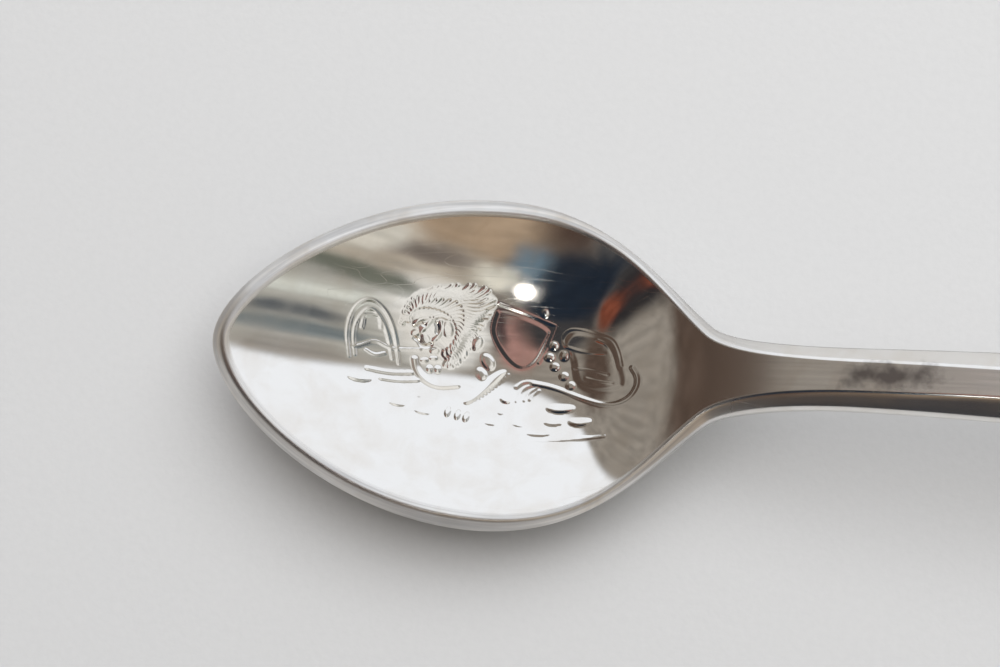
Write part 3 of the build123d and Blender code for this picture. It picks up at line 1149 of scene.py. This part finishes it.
# The room that the metal mirrors, seen from the spoon: soft patches by direction. A patch is
# (centre, half size, turn, softness, colour), where a direction's place is its X and Y parts,
# so that (0, 0) is straight up and a length of 1 is the horizon.
ROOM_BASE = (0.3, 0.27, 0.235)
WINDOW = ((0.25, 1.35), (1.12, 1.1), 0, 0.035, (0.98, 1.01, 1.06))
LAMP = ((-0.1, -0.53), (0.05, 0.045), 0, 0.35, (7.0, 6.8, 6.4))
ROOM = [
    ((0.95, 0.0), (0.3, 1.0), 0, 0.3, (0.5, 0.5, 0.5)),
    ((0.0, -1.0), (1.0, 0.35), 0, 0.3, (0.2, 0.15, 0.11)),
    ((0.15, -0.86), (0.4, 0.16), 5, 0.4, (0.4, 0.3, 0.21)),
    ((-0.5, -0.85), (0.3, 0.13), 0, 0.4, (0.08, 0.05, 0.04)),
    ((0.0, -1.02), (0.8, 0.09), 0, 0.3, (0.045, 0.045, 0.05)),
    ((0.42, -0.2), (0.3, 0.44), 0, 0.3, (0.45, 0.44, 0.4)),
    ((0.3, -0.6), (0.3, 0.09), 10, 0.5, (0.46, 0.41, 0.34)),
    ((0.3, -0.66), (0.14, 0.035), 5, 0.6, (0.2, 0.17, 0.15)),
    ((0.3, -0.17), (0.2, 0.36), 5, 0.25, (0.84, 0.83, 0.8)),
    ((0.53, -0.47), (0.15, 0.06), -20, 0.5, (0.16, 0.17, 0.14)),
    ((0.45, -0.7), (0.16, 0.07), 30, 0.4, (0.68, 0.65, 0.58)),
    ((0.6, -0.29), (0.1, 0.05), 20, 0.5, (0.7, 0.72, 0.67)),
    ((0.63, -0.1), (0.06, 0.05), 0, 0.5, (0.1, 0.11, 0.12)),
    ((0.62, 0.04), (0.1, 0.06), 0, 0.5, (0.19, 0.22, 0.23)),
    ((-0.1, -0.12), (0.14, 0.26), 0, 0.3, (0.42, 0.24, 0.21)),
    ((-0.38, -0.27), (0.31, 0.24), 0, 0.3, (0.05, 0.048, 0.05)),
    ((-0.4, -0.52), (0.44, 0.2), -12, 0.25, (0.016, 0.024, 0.038)),
    ((-0.12, -0.69), (0.1, 0.08), -10, 0.6, (0.16, 0.24, 0.31)),
    ((-0.9, -0.32), (0.13, 0.24), 0, 0.3, (0.03, 0.028, 0.03)),
    ((-0.78, -0.26), (0.08, 0.1), 0, 0.4, (0.2, 0.06, 0.035)),
    ((-0.72, 0.13), (0.16, 0.3), 0, 0.4, (0.1, 0.07, 0.055)),
    ((0.05, -0.24), (0.045, 0.2), 5, 0.6, (0.07, 0.045, 0.045)),
    ((0.05, -0.6), (0.1, 0.07), 10, 0.7, (0.85, 0.82, 0.72)),
]
# How far the patches' outlines wander, and the coarseness of that
WANDER = 0.07
WANDER_SCALE = 5
# Faint streaks across the room: stretch, turn, coarseness, and how dark and bright they are
STREAK_STRETCH = (0.4, 2.6, 1)
STREAK_TURN = -25
STREAK_SCALE = 12
STREAK_LEVELS = (0.8, 1.2)


def wandering(world, direction, place):
    """A place moved a little by noise, so that the patches' outlines aren't true ovals."""
    color = noise(world, WANDER_SCALE, 4, direction, output="Color")
    shift = world.node_tree.nodes.new("ShaderNodeMapRange")
    shift.data_type = "FLOAT_VECTOR"
    shift.inputs[9].default_value = (-WANDER, -WANDER, 0)
    shift.inputs[10].default_value = (WANDER, WANDER, 0)
    world.node_tree.links.new(color, shift.inputs[6])
    moved = world.node_tree.nodes.new("ShaderNodeVectorMath")
    world.node_tree.links.new(place, moved.inputs[0])
    world.node_tree.links.new(shift.outputs[1], moved.inputs[1])
    return moved.outputs[0]


def overlay(world, below, place, patch):
    """A patch of light over the colours below it."""
    centre, half_size, turn, softness, color = patch
    reach = oval_reach(world, place, centre, half_size, turn)
    share = remap(world, reach, (1 + softness, 1 - softness), (0, 1), "SMOOTHSTEP")
    return blend(world, share, below, color)


def add_room():
    """The world: the patches above under faint streaks, with the window and the lamp."""
    world = bpy.data.worlds.new("room")
    bpy.context.scene.world = world
    world.use_nodes = True
    tree = world.node_tree
    direction = tree.nodes.new("ShaderNodeTexCoord").outputs["Generated"]
    flat = tree.nodes.new("ShaderNodeVectorMath")
    flat.operation = "MULTIPLY"
    flat.inputs[1].default_value = (1, 1, 0)
    tree.links.new(direction, flat.inputs[0])
    flat = flat.outputs[0]
    bent = wandering(world, direction, flat)
    color = ROOM_BASE
    for patch in ROOM:
        color = overlay(world, color, bent, patch)
    streaks = stretched(world, direction, STREAK_STRETCH, STREAK_TURN)
    streaks = noise(world, STREAK_SCALE, 6, streaks)
    varied = tree.nodes.new("ShaderNodeVectorMath")
    varied.operation = "SCALE"
    tree.links.new(color, varied.inputs[0])
    tree.links.new(remap(world, streaks, (0.35, 0.65), STREAK_LEVELS), varied.inputs["Scale"])
    color = overlay(world, varied.outputs[0], flat, WINDOW)
    color = overlay(world, color, flat, LAMP)
    tree.links.new(color, tree.nodes["Background"].inputs[0])


add_room()

# The camera looks down on the bowl, square to its rim's plane along the spoon and leaning
# towards -Y, with the spoon's axis turned a little clockwise in the picture.
LEAN = math.radians(13.0)
TURN = math.radians(5.6)
PITCH = math.atan(RIM_PITCH)
DISTANCE = 235.6
LENS = 115.0
# What it looks at: a point of the rim's plane, sunk a little into the bowl
LOOK_STATION = 21.1
LOOK_SIDE = 2.14
LOOK_SINK = 0.5
LOOK_HEIGHT = EDGE_HEIGHTS[0][1] - LOOK_SINK - RIM_PITCH * LOOK_STATION

rim_x = np.array([math.cos(PITCH), 0, -math.sin(PITCH)])
rim_y = np.array([0, 1, 0])
rim_z = np.array([math.sin(PITCH), 0, math.cos(PITCH)])
right = math.cos(TURN) * rim_x + math.sin(TURN) * rim_y
level_up = -math.sin(TURN) * rim_x + math.cos(TURN) * rim_y
towards = math.cos(LEAN) * rim_z - math.sin(LEAN) * level_up
up = math.cos(LEAN) * level_up + math.sin(LEAN) * rim_z
target = np.array([TIP + LOOK_STATION, LOOK_SIDE, LOOK_HEIGHT])
camera_data = bpy.data.cameras.new("camera")
camera = bpy.data.objects.new("camera", camera_data)
bpy.context.scene.collection.objects.link(camera)
camera_data.lens = LENS
camera_data.clip_start = 0.01
place = (target + towards * DISTANCE) * MM
turned = np.column_stack([right, up, towards, place])
camera.matrix_world = Matrix([*turned.tolist(), (0, 0, 0, 1)])
bpy.context.scene.camera = camera
bpy.context.scene.view_settings.view_transform = "Standard"
